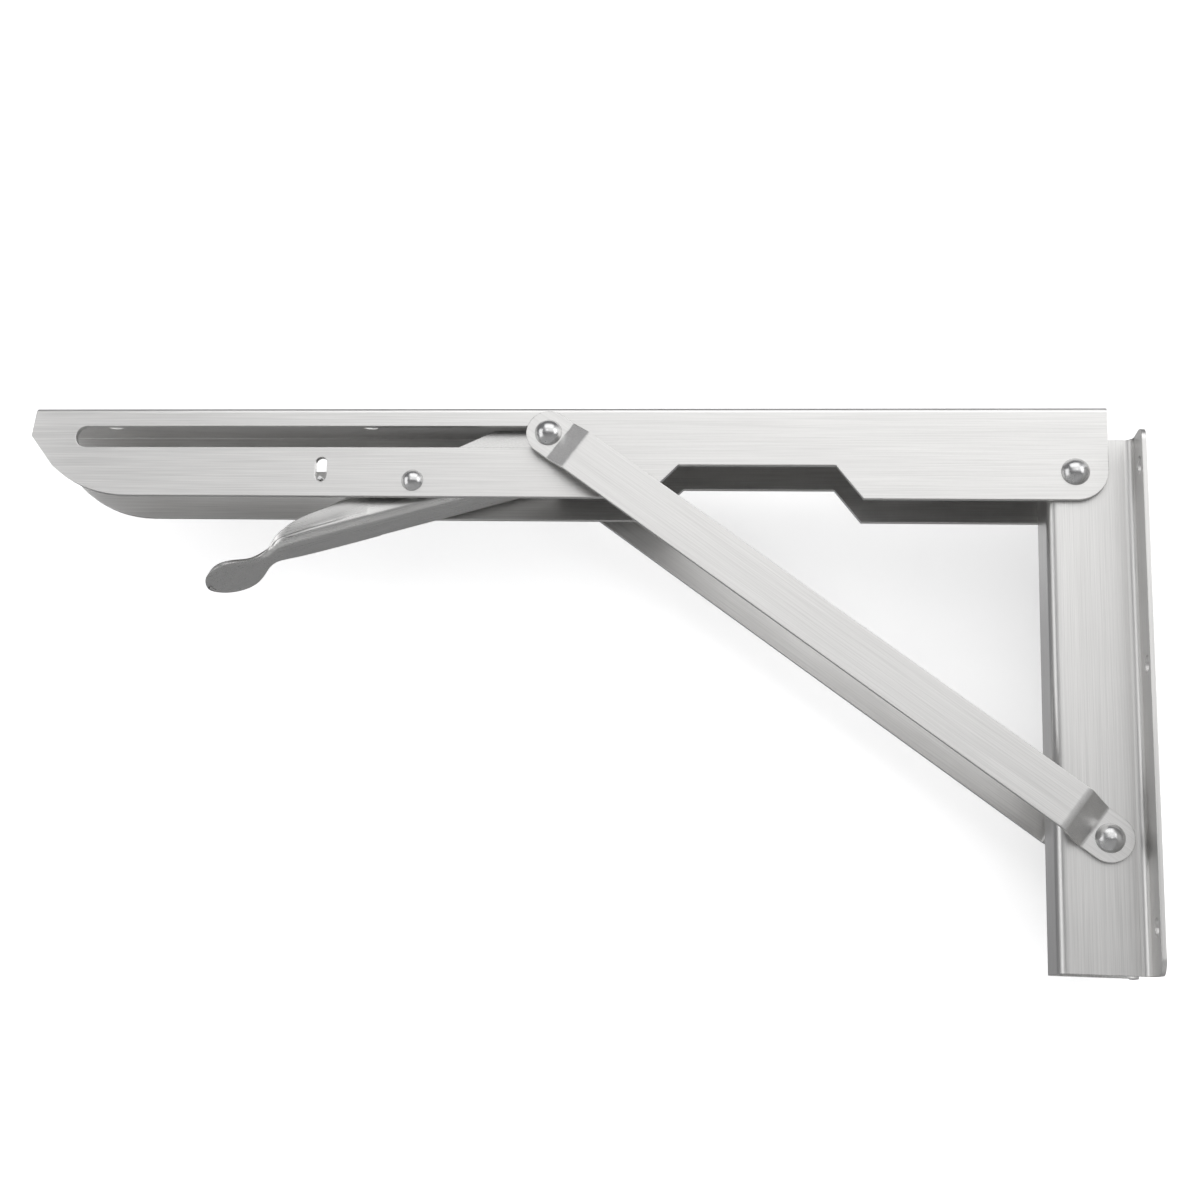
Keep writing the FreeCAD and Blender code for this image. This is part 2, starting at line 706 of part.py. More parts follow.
def u_prism(length):
    """Rounded U section run along the handle's underside line."""
    outer = CHEEK_OUTER
    inner = CHEEK_INNER
    thick = size("lever_sheet")
    outer_radius = size("lever_corner_radius")
    tall = 2 * size("nose_rise")
    shell = rounded_outline(
        [(-outer, 0), (outer, 0), (outer, tall), (-outer, tall)], [outer_radius, outer_radius, 0.0, 0.0])
    hollow = rounded_outline(
        [(-inner, thick), (inner, thick), (inner, tall + CUT_SPARE), (-inner, tall + CUT_SPARE)],
        [outer_radius - thick, outer_radius - thick, 0.0, 0.0])
    solids = []
    for edges in (shell, hollow):
        wire = Part.Wire([edge.toShape() for edge in edges])
        solids.append(Part.Face(wire).extrude(FreeCAD.Vector(0, 0, length)))
    section = solids[0].cut(solids[1])
    across, up, along = FreeCAD.Vector(0, 1, 0), FreeCAD.Vector(0, 0, 1), FreeCAD.Vector(1, 0, 0)
    upright = FreeCAD.Rotation(across, up, along, "ZXY")
    slope = FreeCAD.Rotation(FreeCAD.Vector(0, -1, 0), size("handle_slope_angle"))
    section.Placement = FreeCAD.Placement(FreeCAD.Vector(0, 0, 0), slope.multiply(upright))
    return section


def make_lever():
    """Release lever, stamped and bent from one sheet."""
    slope_angle = math.radians(size("handle_slope_angle"))
    handle_x = -size("handle_run")
    latch_radius = lever_frame()[2]
    start_x = handle_x - 2 * size("neck_run")
    length = (latch_radius + size("lever_width") - start_x) / math.cos(slope_angle)
    prism = u_prism(length)
    prism.translate(FreeCAD.Vector(start_x, 0, under_line(start_x)))
    side_view = extrude_xz(cheek_outline(), -CHEEK_OUTER, CHEEK_OUTER)
    shell = prism.common(side_view)
    plate = make_paddle(handle_x)
    lever = shell.fuse(plate).removeSplitter()
    bore = Part.makeCylinder(
        size("lever_rivet_diameter") / 2 + size("pivot_play"), 2 * (CHEEK_OUTER + CUT_SPARE),
        FreeCAD.Vector(0, -CHEEK_OUTER - CUT_SPARE, 0), FreeCAD.Vector(0, 1, 0))
    feature = doc.addObject("Part::Feature", "release_lever")
    feature.Label = "release_lever"
    feature.Shape = lever.cut(bore)
    feature.Placement = FreeCAD.Placement(world(LEVER_PIVOT), FreeCAD.Rotation())
    return feature


def paddle_strip(points):
    """Neck and paddle in side view, as one bent strip wider than the paddle."""
    bends = [size("neck_bend_radius")] * 2
    width = size("paddle_width")
    return extrude_xz(bent_strip(points, bends, size("lever_sheet")), -width, width)


def upright_prism(edges, depth):
    """Solid over an outline drawn in plan, to the same depth above and below it."""
    face = Part.Face(Part.Wire([edge.toShape() for edge in edges]))
    face.translate(FreeCAD.Vector(0, 0, -depth))
    return face.extrude(FreeCAD.Vector(0, 0, 2 * depth))


def waist_side(spots, side):
    """One edge of the neck in plan, through (x, half width) spots."""
    curve = Part.BSplineCurve()
    curve.interpolate([FreeCAD.Vector(x, side * half_width, 0) for x, half_width in spots])
    return curve


def make_paddle(handle_x):
    """Neck and thumb paddle: a bent strip trimmed to its plan."""
    slope = math.radians(size("handle_slope_angle"))
    steep = math.radians(size("neck_slope_angle"))
    shallow = math.radians(size("paddle_slope_angle"))
    lap = size("neck_lap")
    reach = size("paddle_length")
    start = (handle_x, under_line(handle_x) + size("lever_sheet") / 2 / math.cos(slope))
    root = (start[0] + lap * math.cos(slope), start[1] + lap * math.sin(slope))
    bend = (start[0] - size("neck_run"), start[1] - size("neck_run") * math.tan(steep))
    tip = (bend[0] - reach * math.cos(shallow), bend[1] - reach * math.sin(shallow))
    long_half = reach / 2 * math.cos(shallow)
    oval = Part.Ellipse(
        FreeCAD.Vector(0, size("paddle_width") / 2, 0), FreeCAD.Vector(long_half, 0, 0), FreeCAD.Vector())
    depth = -2 * tip[1]
    plan = upright_prism([oval], depth)
    plan.translate(FreeCAD.Vector(bend[0] - long_half, 0, 0))
    spots = [
        (root[0], CHEEK_OUTER - size("lever_corner_radius") / 2),
        ((start[0] + bend[0]) / 2, size("neck_width") / 2),
        (bend[0] - size("neck_flare_run"), size("neck_flare_width") / 2),
    ]
    left = waist_side(spots, 1)
    right = waist_side(spots[::-1], -1)
    waist = [
        left, Part.LineSegment(left.EndPoint, right.StartPoint),
        right, Part.LineSegment(right.EndPoint, left.StartPoint)]
    plan = plan.fuse(upright_prism(waist, depth))
    return paddle_strip([root, start, bend, tip]).common(plan)


def tangent_angle(point, radius, side):
    """Angle on a circle where a straight leg to a point leaves it."""
    return math.atan2(point[1], point[0]) + side * math.acos(radius / math.hypot(*point))


def rounded_corner(before, corner, after, radius):
    """Two runs in space that meet at a corner, joined by an arc."""
    back = (before - corner).normalize()
    onward = (after - corner).normalize()
    half = back.getAngle(onward) / 2
    start = corner + back * (radius / math.tan(half))
    end = corner + onward * (radius / math.tan(half))
    centre = corner + (back + onward).normalize() * (radius / math.sin(half))
    middle = centre + (corner - centre).normalize() * radius
    return [Part.LineSegment(before, start), Part.Arc(start, middle, end), Part.LineSegment(end, after)]


def coil_edge(first, last, radius, length):
    """Coil wound about Y between two angles, from the far end to the near one."""
    coil = Part.makeHelix(2 * math.pi * length / (last - first), length, radius, 0, True)
    upright = FreeCAD.Rotation(FreeCAD.Vector(1, 0, 0), 90)
    turn = FreeCAD.Rotation(FreeCAD.Vector(0, -1, 0), math.degrees(last)).multiply(upright)
    coil.Placement = FreeCAD.Placement(FreeCAD.Vector(0, length / 2, 0), turn)
    return coil.Edges[0]


def coil_leg(angle, y, radius, climb, reach_x):
    """Start and end of a straight leg that carries the coil on to a given X."""
    start = FreeCAD.Vector(radius * math.cos(angle), y, radius * math.sin(angle))
    along = FreeCAD.Vector(-math.sin(angle), climb, math.cos(angle))
    return start, start + along * ((reach_x - start.x) / along.x)


def make_spring():
    """Return spring: a coil on the lever's rivet, one leg out through the wall, one in the handle."""
    wire = size("spring_wire")
    radius = size("spring_radius")
    play = size("spring_play")
    slope = math.radians(size("handle_slope_angle"))
    rest_x = -size("spring_rest_reach")
    rest_z = under_line(rest_x) + (size("lever_sheet") + wire / 2 + play) / math.cos(slope)
    hole_x = -size("spring_hole_offset")
    hole_z = size("lever_pivot_drop") - size("spring_hole_height") / 2 + wire / 2 + play
    first = tangent_angle((hole_x, hole_z), radius, 1)
    last = tangent_angle((rest_x, rest_z), radius, -1)
    while last < first:
        last += 2 * math.pi
    last += 2 * math.pi * size("spring_whole_turns")
    length = (last - first) / (2 * math.pi) * size("spring_pitch")
    climb = size("spring_pitch") / (2 * math.pi * radius)
    near_start, knee = coil_leg(first, -length / 2, radius, climb, hole_x)
    far_start, rest = coil_leg(last, length / 2, radius, climb, rest_x)
    proud = FreeCAD.Vector(knee.x, -ARM_OUTER - size("spring_end_proud"), knee.z)
    out = rounded_corner(near_start, knee, proud, size("spring_bend_radius"))
    edges = [Part.LineSegment(rest, far_start).toShape(), coil_edge(first, last, radius, length)]
    path = Part.Wire(edges + [run.toShape() for run in out])
    section = Part.Wire([Part.Circle(rest, far_start - rest, wire / 2).toShape()])
    feature = doc.addObject("Part::Feature", "return_spring")
    feature.Label = "return_spring"
    feature.Shape = path.makePipeShell([section], True, False)
    feature.Placement = FreeCAD.Placement(world(LEVER_PIVOT), FreeCAD.Rotation())
    return feature


def build():
    """Make every piece."""
    pieces = [make_wall_channel(), make_arm()]
    pieces.append(make_strut("near_strut", -1))
    pieces.append(make_strut("far_strut", 1))
    pieces.append(through_rivet(
        "hinge_rivet", (0, 0), size("rivet_diameter"), size("rivet_head_diameter"),
        size("rivet_head_height")))
    sleeve_bore = size("rivet_diameter") + 2 * size("pivot_play")
    pieces.append(ring(
        "hinge_sleeve", (0, 0), size("sleeve_diameter"), sleeve_bore, -CHANNEL_INNER, CHANNEL_INNER))
    for name, side in (("near", -1), ("far", 1)):
        pieces.append(lower_rivet(name + "_lower_rivet", side))
        pieces.append(upper_rivet(name + "_upper_rivet", side))
        pieces.append(slot_stud(name + "_slot_stud", side))
        washer = sorted([side * WASHER_INNER, side * WASHER_OUTER])
        washer_bore = size("slot_pin_diameter") + 2 * size("pivot_play")
        pieces.append(ring(
            name + "_strut_washer", UPPER_PIVOT, size("strut_washer_diameter"), washer_bore, *washer))
        spacer = sorted([side * CHEEK_OUTER, side * (ARM_INNER - size("strut_play"))])
        spacer_bore = size("lever_rivet_diameter") + 2 * size("pivot_play")
        pieces.append(ring(
            name + "_lever_spacer", LEVER_PIVOT, size("lever_spacer_diameter"), spacer_bore, *spacer))
    pieces.append(make_crossbar())
    pieces.append(through_rivet(
        "lever_rivet", LEVER_PIVOT, size("lever_rivet_diameter"), size("lever_head_diameter"),
        size("lever_head_height")))
    pieces.append(make_lever())
    pieces.append(make_spring())
    return pieces


def check(pieces):
    """Stop if anything in the document failed or a piece isn't one valid solid."""
    doc.recompute()
    for item in doc.Objects:
        if "Invalid" in item.State or "Error" in item.State:
            raise ValueError("%s failed" % item.Label)
    for piece in pieces:
        shape = piece.Shape
        if shape.isNull() or not shape.isValid() or len(shape.Solids) != 1:
            raise ValueError("%s is not one valid solid (%d)" % (piece.Label, len(shape.Solids)))


PIECES = build()
check(PIECES)
os.makedirs("parts", exist_ok=True)
for piece in PIECES:
    piece.Shape.exportStep(os.path.join("parts", piece.Label + ".step"))
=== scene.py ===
"""Dress a folding leaf bracket in brushed steel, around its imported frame."""
import json
import math

import bmesh
import bpy
from mathutils import Matrix, Vector


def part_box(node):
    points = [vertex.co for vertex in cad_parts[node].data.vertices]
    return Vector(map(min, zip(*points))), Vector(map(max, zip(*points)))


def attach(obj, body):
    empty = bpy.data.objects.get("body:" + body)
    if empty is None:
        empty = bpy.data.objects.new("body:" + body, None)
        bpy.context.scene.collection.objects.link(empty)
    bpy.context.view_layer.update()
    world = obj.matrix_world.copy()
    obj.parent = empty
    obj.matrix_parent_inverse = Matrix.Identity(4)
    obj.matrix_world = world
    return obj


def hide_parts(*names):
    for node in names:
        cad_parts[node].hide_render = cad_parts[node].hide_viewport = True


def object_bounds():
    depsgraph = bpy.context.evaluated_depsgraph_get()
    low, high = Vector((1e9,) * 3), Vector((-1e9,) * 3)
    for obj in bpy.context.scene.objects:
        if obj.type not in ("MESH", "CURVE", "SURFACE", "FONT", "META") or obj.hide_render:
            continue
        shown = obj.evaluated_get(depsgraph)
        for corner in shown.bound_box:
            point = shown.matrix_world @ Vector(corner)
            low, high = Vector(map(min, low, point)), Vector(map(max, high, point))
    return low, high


bl_info = {
    "name": "Folding Leaf Bracket",
    "version": (1, 0, 0),
    "blender": (4, 5, 0),
    "location": "View3D > Sidebar > Bracket",
    "description": "Builds the finishes, the smooth pieces and the studio of a folding leaf bracket",
    "category": "Object",
}

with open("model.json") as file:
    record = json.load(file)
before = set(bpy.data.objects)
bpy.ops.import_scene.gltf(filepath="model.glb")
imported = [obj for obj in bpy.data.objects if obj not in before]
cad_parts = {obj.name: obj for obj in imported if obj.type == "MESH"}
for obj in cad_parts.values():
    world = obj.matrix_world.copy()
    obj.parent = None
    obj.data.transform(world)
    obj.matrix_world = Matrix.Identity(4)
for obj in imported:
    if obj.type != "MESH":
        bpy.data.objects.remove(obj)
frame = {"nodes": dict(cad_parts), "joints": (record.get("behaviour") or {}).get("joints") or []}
CAD_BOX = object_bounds()
NODES = frame["nodes"]


def joint_place(name):
    """Where a joint's axis passes, in metres."""
    joint = [item for item in frame["joints"] if item["name"] == name][0]
    return Vector(joint["pos_m"])


LOWER_PIVOT = joint_place("strut_swing")
LEVER_PIVOT = joint_place("lever_press")


def middle(node):
    """Centre of a CAD node's box."""
    low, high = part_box(node)
    return (low + high) / 2


STRUT_RISE = middle("near_upper_rivet") - LOWER_PIVOT
STRUT_TILT = math.atan2(STRUT_RISE.z, STRUT_RISE.x)

# Layers of the grain: output, share of the fineness, detail of the noise
GRAIN_LAYERS = (("Streaks", 1.0, 3.0), ("Bands", 0.12, 2.0))
GRAIN_LENGTH = 45.0
GRAIN_FINENESS = 4200.0
GRAIN_HEIGHT = 0.16
CLOUD_SCALE = 28.0
CLOUD_DETAIL = 3.0
NOISE_RANGE = (0.3, 0.7)
# Darkest and lightest grain, as shares of the steel's colour, and what tints it from one to the other
DARK_GRAIN = 0.80
LIGHT_GRAIN = 1.12
TINT_BASE = 0.10
BAND_TINT = 0.15
CLOUD_TINT = 0.12
STREAK_TINT = 0.55
# What streaks, clouds and broken edges add to the roughness
STREAK_ROUGHNESS = 0.10
CLOUD_ROUGHNESS = 0.06
EDGE_ROUGHNESS = -0.10
# Haze of the polished pieces, and the least and most that it makes of their colour and roughness
HAZE_SCALE = 420.0
HAZE_DETAIL = 4.0
HAZE_HEIGHT = 0.015
HAZE_RANGE = (0.35, 0.65)
HAZE_SHADE = 0.9
HAZE_ROUGHNESS = (0.9, 1.15)
MARK_DEPTH = 0.00004
# Agreement of the rounded normal with the true one, from where an edge starts to where it is full
EDGE_RANGE = (0.98, 0.80)
EDGE_SAMPLES = 6

# Shares of the way from the middle of the lever's section to its edge, where flat and bend end
FLAT_SHARE = 1 / 4
BEND_SHARE = 7 / 12
# Share of the wall's height over which the crease deepens, and most of the cheek that the bend takes
CREASE_SHARE = 0.15
BEND_FILL = 0.9
EASE_STEPS = 3
# Width of the handle: where its taper starts, where it has this share of its width, and the least
TAPER_START = 0.0330
TAPER_REACH = 0.0385
TAPER_SHARE = 0.90
TIP_HALF = 0.0003
# Cheek: height at the seam, then reach and height, where the rim runs, and its most for the half width
SEAM_CHEEK = 0.01154
CHEEK_SPOTS = ((0.0217, 0.0084), (0.0324, 0.0068), (0.0385, 0.0043), (0.0420, 0.0020))
RIM_START = 0.0460
RIM_END = 0.0560
RIM_SHARE = 1 / 12
# Turn of the rolled edge: square along the handle, less at the waist, on the paddle and at its tip
SQUARE_ROLL = math.radians(90)
SQUARE_END = 0.0370
WAIST_ROLL = math.radians(62)
PADDLE_ROLL = math.radians(34)
PADDLE_ROLL_REACH = 0.0470
TIP_ROLL = math.radians(30)
TIP_ROLL_REACH = 0.0600
# How squarely a face looks along X to be an end cap, the angle of a sharp edge, and the merge distance
END_FACING = 0.7
SHARP_ANGLE = math.radians(35)
MERGE_GAP = 0.000001

BOARD_SIZE = 3.0
FLOOR_SIZE = 6.0
FLOOR_GLOW = 0.5
MOTTLE_SCALE = 6.0
MOTTLE_SHADE = 0.99
# Softboxes: name, place, width and height
TOP_SOFTBOX = ("top_softbox", (-0.12, -0.62, 0.90), 1.1, 0.6)
SIDE_SOFTBOXES = (
    ("right_softbox", (0.95, -0.80, 0.35), 0.5, 0.9),
    ("left_softbox", (-0.95, -0.45, 0.05), 0.5, 0.9),
    ("back_softbox", (0.20, 0.95, 0.60), 0.9, 0.6),
)
# The tent along one direction each, from where a change starts to where it is full
OVER_HORIZON = (-0.10, 0.28)
UNDER_ZENITH = (0.92, 0.45)
RIGHT_OF_TIP = (-0.62, -0.12)
TO_THE_BACK = (0.05, 0.45)
BACK_LIGHT = 0.40
TENT_SHADE = (0.17, 0.17, 0.175)
WHITE = (1.0, 1.0, 1.0)

CAMERA_PLACE = (-0.0882, -0.4441, -0.0840)
CAMERA_YAW = -0.1205
CAMERA_PITCH = 0.24
CAMERA_ROLL = 0.0411
SENSOR_WIDTH = 36.0
CLIP_START = 0.01


class BracketFinish(bpy.types.PropertyGroup):
    """Sizes and colours of the steel's finish."""

    steel: bpy.props.FloatVectorProperty(
        name="Steel", description="Colour of the brushed steel", default=(0.72, 0.715, 0.705),
        size=3, min=0.0, max=1.0, subtype="COLOR")
    polish: bpy.props.FloatVectorProperty(
        name="Polish", description="Colour of the polished rivets", default=(0.80, 0.80, 0.80),
        size=3, min=0.0, max=1.0, subtype="COLOR")
    roughness: bpy.props.FloatProperty(
        name="Roughness", description="Roughness of the brushed faces", default=0.30, min=0.0, max=1.0,
        subtype="FACTOR")
    edge: bpy.props.FloatProperty(
        name="Edge", description="Radius of the broken edges of the sheet", default=0.0003, min=0.0,
        unit="LENGTH")


class BracketLever(bpy.types.PropertyGroup):
    """Sizes of the release lever, measured from its rivet."""

    seam_reach: bpy.props.FloatProperty(
        name="Seam", description="Reach at which the formed handle starts", default=0.012, unit="LENGTH")
    seam_gap: bpy.props.FloatProperty(
        name="Seam gap", description="Length of the faces that join handle and nose", default=0.0006,
        unit="LENGTH")
    handle_run: bpy.props.FloatProperty(
        name="Handle run", description="Reach of the handle's end", default=0.0395, unit="LENGTH")
    handle_depth: bpy.props.FloatProperty(
        name="Handle depth", description="Underside below the rivet", default=0.007483, unit="LENGTH")
    handle_slope: bpy.props.FloatProperty(
        name="Handle slope", description="Fall of the handle", default=math.radians(15.8), subtype="ANGLE")
    neck_run: bpy.props.FloatProperty(
        name="Neck run", description="Level length of the neck", default=0.005, unit="LENGTH")
    neck_slope: bpy.props.FloatProperty(
        name="Neck slope", description="Fall of the neck", default=math.radians(36), subtype="ANGLE")
    paddle_length: bpy.props.FloatProperty(
        name="Paddle length", description="Level length of the paddle", default=0.01446, unit="LENGTH")
    paddle_slope: bpy.props.FloatProperty(
        name="Paddle slope", description="Fall of the paddle", default=math.radians(24), subtype="ANGLE")
    paddle_half_width: bpy.props.FloatProperty(
        name="Paddle half width", description="Half the width of the oval", default=0.0123, unit="LENGTH")
    half_width: bpy.props.FloatProperty(
        name="Handle half width", description="Half the width of the handle", default=0.0074, unit="LENGTH")
    waist_reach: bpy.props.FloatProperty(
        name="Waist reach", description="Reach of the narrowest place", default=0.0425, unit="LENGTH")
    waist_half: bpy.props.FloatProperty(
        name="Waist half width", description="Half the width of the neck", default=0.0047, unit="LENGTH")
    flare_reach: bpy.props.FloatProperty(
        name="Flare reach", description="Reach at which the neck meets the oval", default=0.0475,
        unit="LENGTH")
    corner_radius: bpy.props.FloatProperty(
        name="Corner radius", description="Outer radius of the rolled edges", default=0.0026, unit="LENGTH")
    lean: bpy.props.FloatProperty(
        name="Lean", description="Outward lean of the cheeks for their height", default=0.12, min=0.0)
    crease: bpy.props.FloatProperty(
        name="Crease", description="Depth of the crease over the rolled edge", default=0.00045, unit="LENGTH")
    press_run: bpy.props.FloatProperty(
        name="Press run", description="Length over which lean and crease grow", default=0.010, unit="LENGTH")
    rim: bpy.props.FloatProperty(
        name="Rim", description="Height of the paddle's turned-up rim", default=0.0006, unit="LENGTH")
    sheet: bpy.props.FloatProperty(
        name="Sheet", description="Thickness of the sheet", default=0.0012, unit="LENGTH")
    bend_ease: bpy.props.FloatProperty(
        name="Bend ease", description="Length over which the bends are eased", default=0.002, unit="LENGTH")
    steps_along: bpy.props.IntProperty(
        name="Steps along", description="Faces along the handle", default=110, min=8)
    steps_around: bpy.props.IntProperty(
        name="Steps around", description="Faces around the section", default=96, min=8)


class BracketStudio(bpy.types.PropertyGroup):
    """The floor, the board behind the bracket, the lights and the camera."""

    board: bpy.props.FloatVectorProperty(
        name="Board", description="Colour of the board behind the bracket", default=(0.93, 0.93, 0.93),
        size=3, min=0.0, max=1.0, subtype="COLOR")
    floor: bpy.props.FloatVectorProperty(
        name="Floor", description="Colour of the floor", default=(0.70, 0.70, 0.70),
        size=3, min=0.0, max=1.0, subtype="COLOR")
    board_gap: bpy.props.FloatProperty(
        name="Board gap", description="From the bracket's far side to the board", default=0.006, min=0.0,
        unit="LENGTH")
    floor_drop: bpy.props.FloatProperty(
        name="Floor drop", description="From the bracket's lowest point to the floor", default=0.25, min=0.0,
        unit="LENGTH")
    glow: bpy.props.FloatProperty(
        name="Glow", description="Light that the board gives by itself", default=0.38, min=0.0)
    flag: bpy.props.FloatProperty(
        name="Flag", description="Grey of the floor as the steel mirrors it", default=0.42, min=0.0, max=1.0)
    air: bpy.props.FloatProperty(
        name="Air", description="Strength of the white tent", default=1.4, min=0.0)
    top_power: bpy.props.FloatProperty(
        name="Top power", description="Watts of the softbox above", default=3.0, min=0.0)
    side_power: bpy.props.FloatProperty(
        name="Side power", description="Watts of each other softbox", default=2.0, min=0.0)
    lens: bpy.props.FloatProperty(
        name="Lens", description="Focal length of the camera in millimetres", default=50.54, min=1.0)


def add_socket(tree, name, kind, in_out):
    """Add one socket to a node group's interface."""
    tree.interface.new_socket(name=name, in_out=in_out, socket_type=kind)


def link(tree, source, target):
    """Join an output socket to an input socket."""
    tree.links.new(source, target)


def put(tree, kind, **settings):
    """Add a node and set its properties."""
    node = tree.nodes.new(kind)
    for key, value in settings.items():
        setattr(node, key, value)
    return node


def ramp_between(tree, source, low, high, to_low, to_high):
    """Map a value from one range to another."""
    node = put(tree, "ShaderNodeMapRange")
    link(tree, source, node.inputs["Value"])
    node.inputs["From Min"].default_value = low
    node.inputs["From Max"].default_value = high
    node.inputs["To Min"].default_value = to_low
    node.inputs["To Max"].default_value = to_high
    return node.outputs["Result"]


def smooth_range(tree, source, low, high):
    """Smooth step from 0 at low to 1 at high."""
    node = put(tree, "ShaderNodeMapRange", interpolation_type="SMOOTHSTEP")
    link(tree, source, node.inputs["Value"])
    node.inputs["From Min"].default_value = low
    node.inputs["From Max"].default_value = high
    return node.outputs["Result"]


def grain_group():
    """Node group for brushed grain: fine streaks, broad bands and cloudy patches."""
    name = "Brushed Grain"
    if name in bpy.data.node_groups:
        return bpy.data.node_groups[name]
    tree = bpy.data.node_groups.new(name, "ShaderNodeTree")
    add_socket(tree, "Vector", "NodeSocketVector", "INPUT")
    add_socket(tree, "Length", "NodeSocketFloat", "INPUT")
    add_socket(tree, "Fineness", "NodeSocketFloat", "INPUT")
    add_socket(tree, "Streaks", "NodeSocketFloat", "OUTPUT")
    add_socket(tree, "Bands", "NodeSocketFloat", "OUTPUT")
    add_socket(tree, "Clouds", "NodeSocketFloat", "OUTPUT")
    start = put(tree, "NodeGroupInput")
    end = put(tree, "NodeGroupOutput")
    for output, share, detail in GRAIN_LAYERS:
        across = put(tree, "ShaderNodeMath", operation="MULTIPLY")
        link(tree, start.outputs["Fineness"], across.inputs[0])
        across.inputs[1].default_value = share
        along = put(tree, "ShaderNodeMath", operation="MULTIPLY")
        link(tree, start.outputs["Length"], along.inputs[0])
        along.inputs[1].default_value = share ** 0.5
        scale = put(tree, "ShaderNodeCombineXYZ")
        link(tree, along.outputs[0], scale.inputs[0])
        link(tree, across.outputs[0], scale.inputs[1])
        link(tree, across.outputs[0], scale.inputs[2])
        stretched = put(tree, "ShaderNodeVectorMath", operation="MULTIPLY")
        link(tree, start.outputs["Vector"], stretched.inputs[0])
        link(tree, scale.outputs[0], stretched.inputs[1])
        noise = put(tree, "ShaderNodeTexNoise")
        noise.inputs["Scale"].default_value = 1.0
        noise.inputs["Detail"].default_value = detail
        link(tree, stretched.outputs[0], noise.inputs["Vector"])
        link(tree, ramp_between(tree, noise.outputs["Fac"], *NOISE_RANGE, 0.0, 1.0), end.inputs[output])
    clouds = put(tree, "ShaderNodeTexNoise")
    clouds.inputs["Scale"].default_value = CLOUD_SCALE
    clouds.inputs["Detail"].default_value = CLOUD_DETAIL
    link(tree, start.outputs["Vector"], clouds.inputs["Vector"])
    link(tree, ramp_between(tree, clouds.outputs["Fac"], *NOISE_RANGE, 0.0, 1.0), end.inputs["Clouds"])
    return tree


def edge_group():
    """Node group for broken edges: a rounded normal and a mask of where the edges are."""
    name = "Broken Edges"
    if name in bpy.data.node_groups:
        return bpy.data.node_groups[name]
    tree = bpy.data.node_groups.new(name, "ShaderNodeTree")
    add_socket(tree, "Radius", "NodeSocketFloat", "INPUT")
    add_socket(tree, "Edge", "NodeSocketFloat", "OUTPUT")
    add_socket(tree, "Normal", "NodeSocketVector", "OUTPUT")
    start = put(tree, "NodeGroupInput")
    end = put(tree, "NodeGroupOutput")
    bevel = put(tree, "ShaderNodeBevel", samples=EDGE_SAMPLES)
    link(tree, start.outputs["Radius"], bevel.inputs["Radius"])
    geometry = put(tree, "ShaderNodeNewGeometry")
    dot = put(tree, "ShaderNodeVectorMath", operation="DOT_PRODUCT")
    link(tree, bevel.outputs["Normal"], dot.inputs[0])
    link(tree, geometry.outputs["Normal"], dot.inputs[1])
    link(tree, ramp_between(tree, dot.outputs["Value"], *EDGE_RANGE, 0.0, 1.0), end.inputs["Edge"])
    link(tree, bevel.outputs["Normal"], end.inputs["Normal"])
    return tree


def group_node(tree, group, **values):
    """Place a node group in a material with its own values."""
    node = put(tree, "ShaderNodeGroup", node_tree=group)
    for key, value in values.items():
        node.inputs[key].default_value = value
    return node


def mix_colour(tree, factor, first, second):
    """Mix two fixed colours by a mask."""
    node = put(tree, "ShaderNodeMix", data_type="RGBA")
    link(tree, factor, node.inputs["Factor"])
    node.inputs["A"].default_value = (*first, 1.0)
    node.inputs["B"].default_value = (*second, 1.0)
    return node.outputs["Result"]


def add_values(tree, terms, base):
    """Sum of masks, each times its own weight, plus a base value."""
    total = None
    for source, weight in terms:
        node = put(tree, "ShaderNodeMath", operation="MULTIPLY_ADD")
        link(tree, source, node.inputs[0])
        node.inputs[1].default_value = weight
        node.inputs[2].default_value = base
        if total is not None:
            link(tree, total, node.inputs[2])
        total = node.outputs[0]
    return total


def bare_metal(name):
    """A plain metal material, with its tree, its shader and the coordinates that its marks follow."""
    material = bpy.data.materials.new(name)
    material.use_nodes = True
    tree = material.node_tree
    tree.nodes.clear()
    output = put(tree, "ShaderNodeOutputMaterial")
    shader = put(tree, "ShaderNodeBsdfPrincipled")
    link(tree, shader.outputs[0], output.inputs["Surface"])
    shader.inputs["Metallic"].default_value = 1.0
    place = put(tree, "ShaderNodeTexCoord")
    return material, tree, shader, place.outputs["Object"]


def raise_marks(tree, shader, marks, edges, strength):
    """Let marks stand out of the surface and of its broken edges."""
    relief = put(tree, "ShaderNodeBump")
    relief.inputs["Strength"].default_value = strength
    relief.inputs["Distance"].default_value = MARK_DEPTH
    link(tree, marks, relief.inputs["Height"])
    link(tree, edges.outputs["Normal"], relief.inputs["Normal"])
    link(tree, relief.outputs[0], shader.inputs["Normal"])


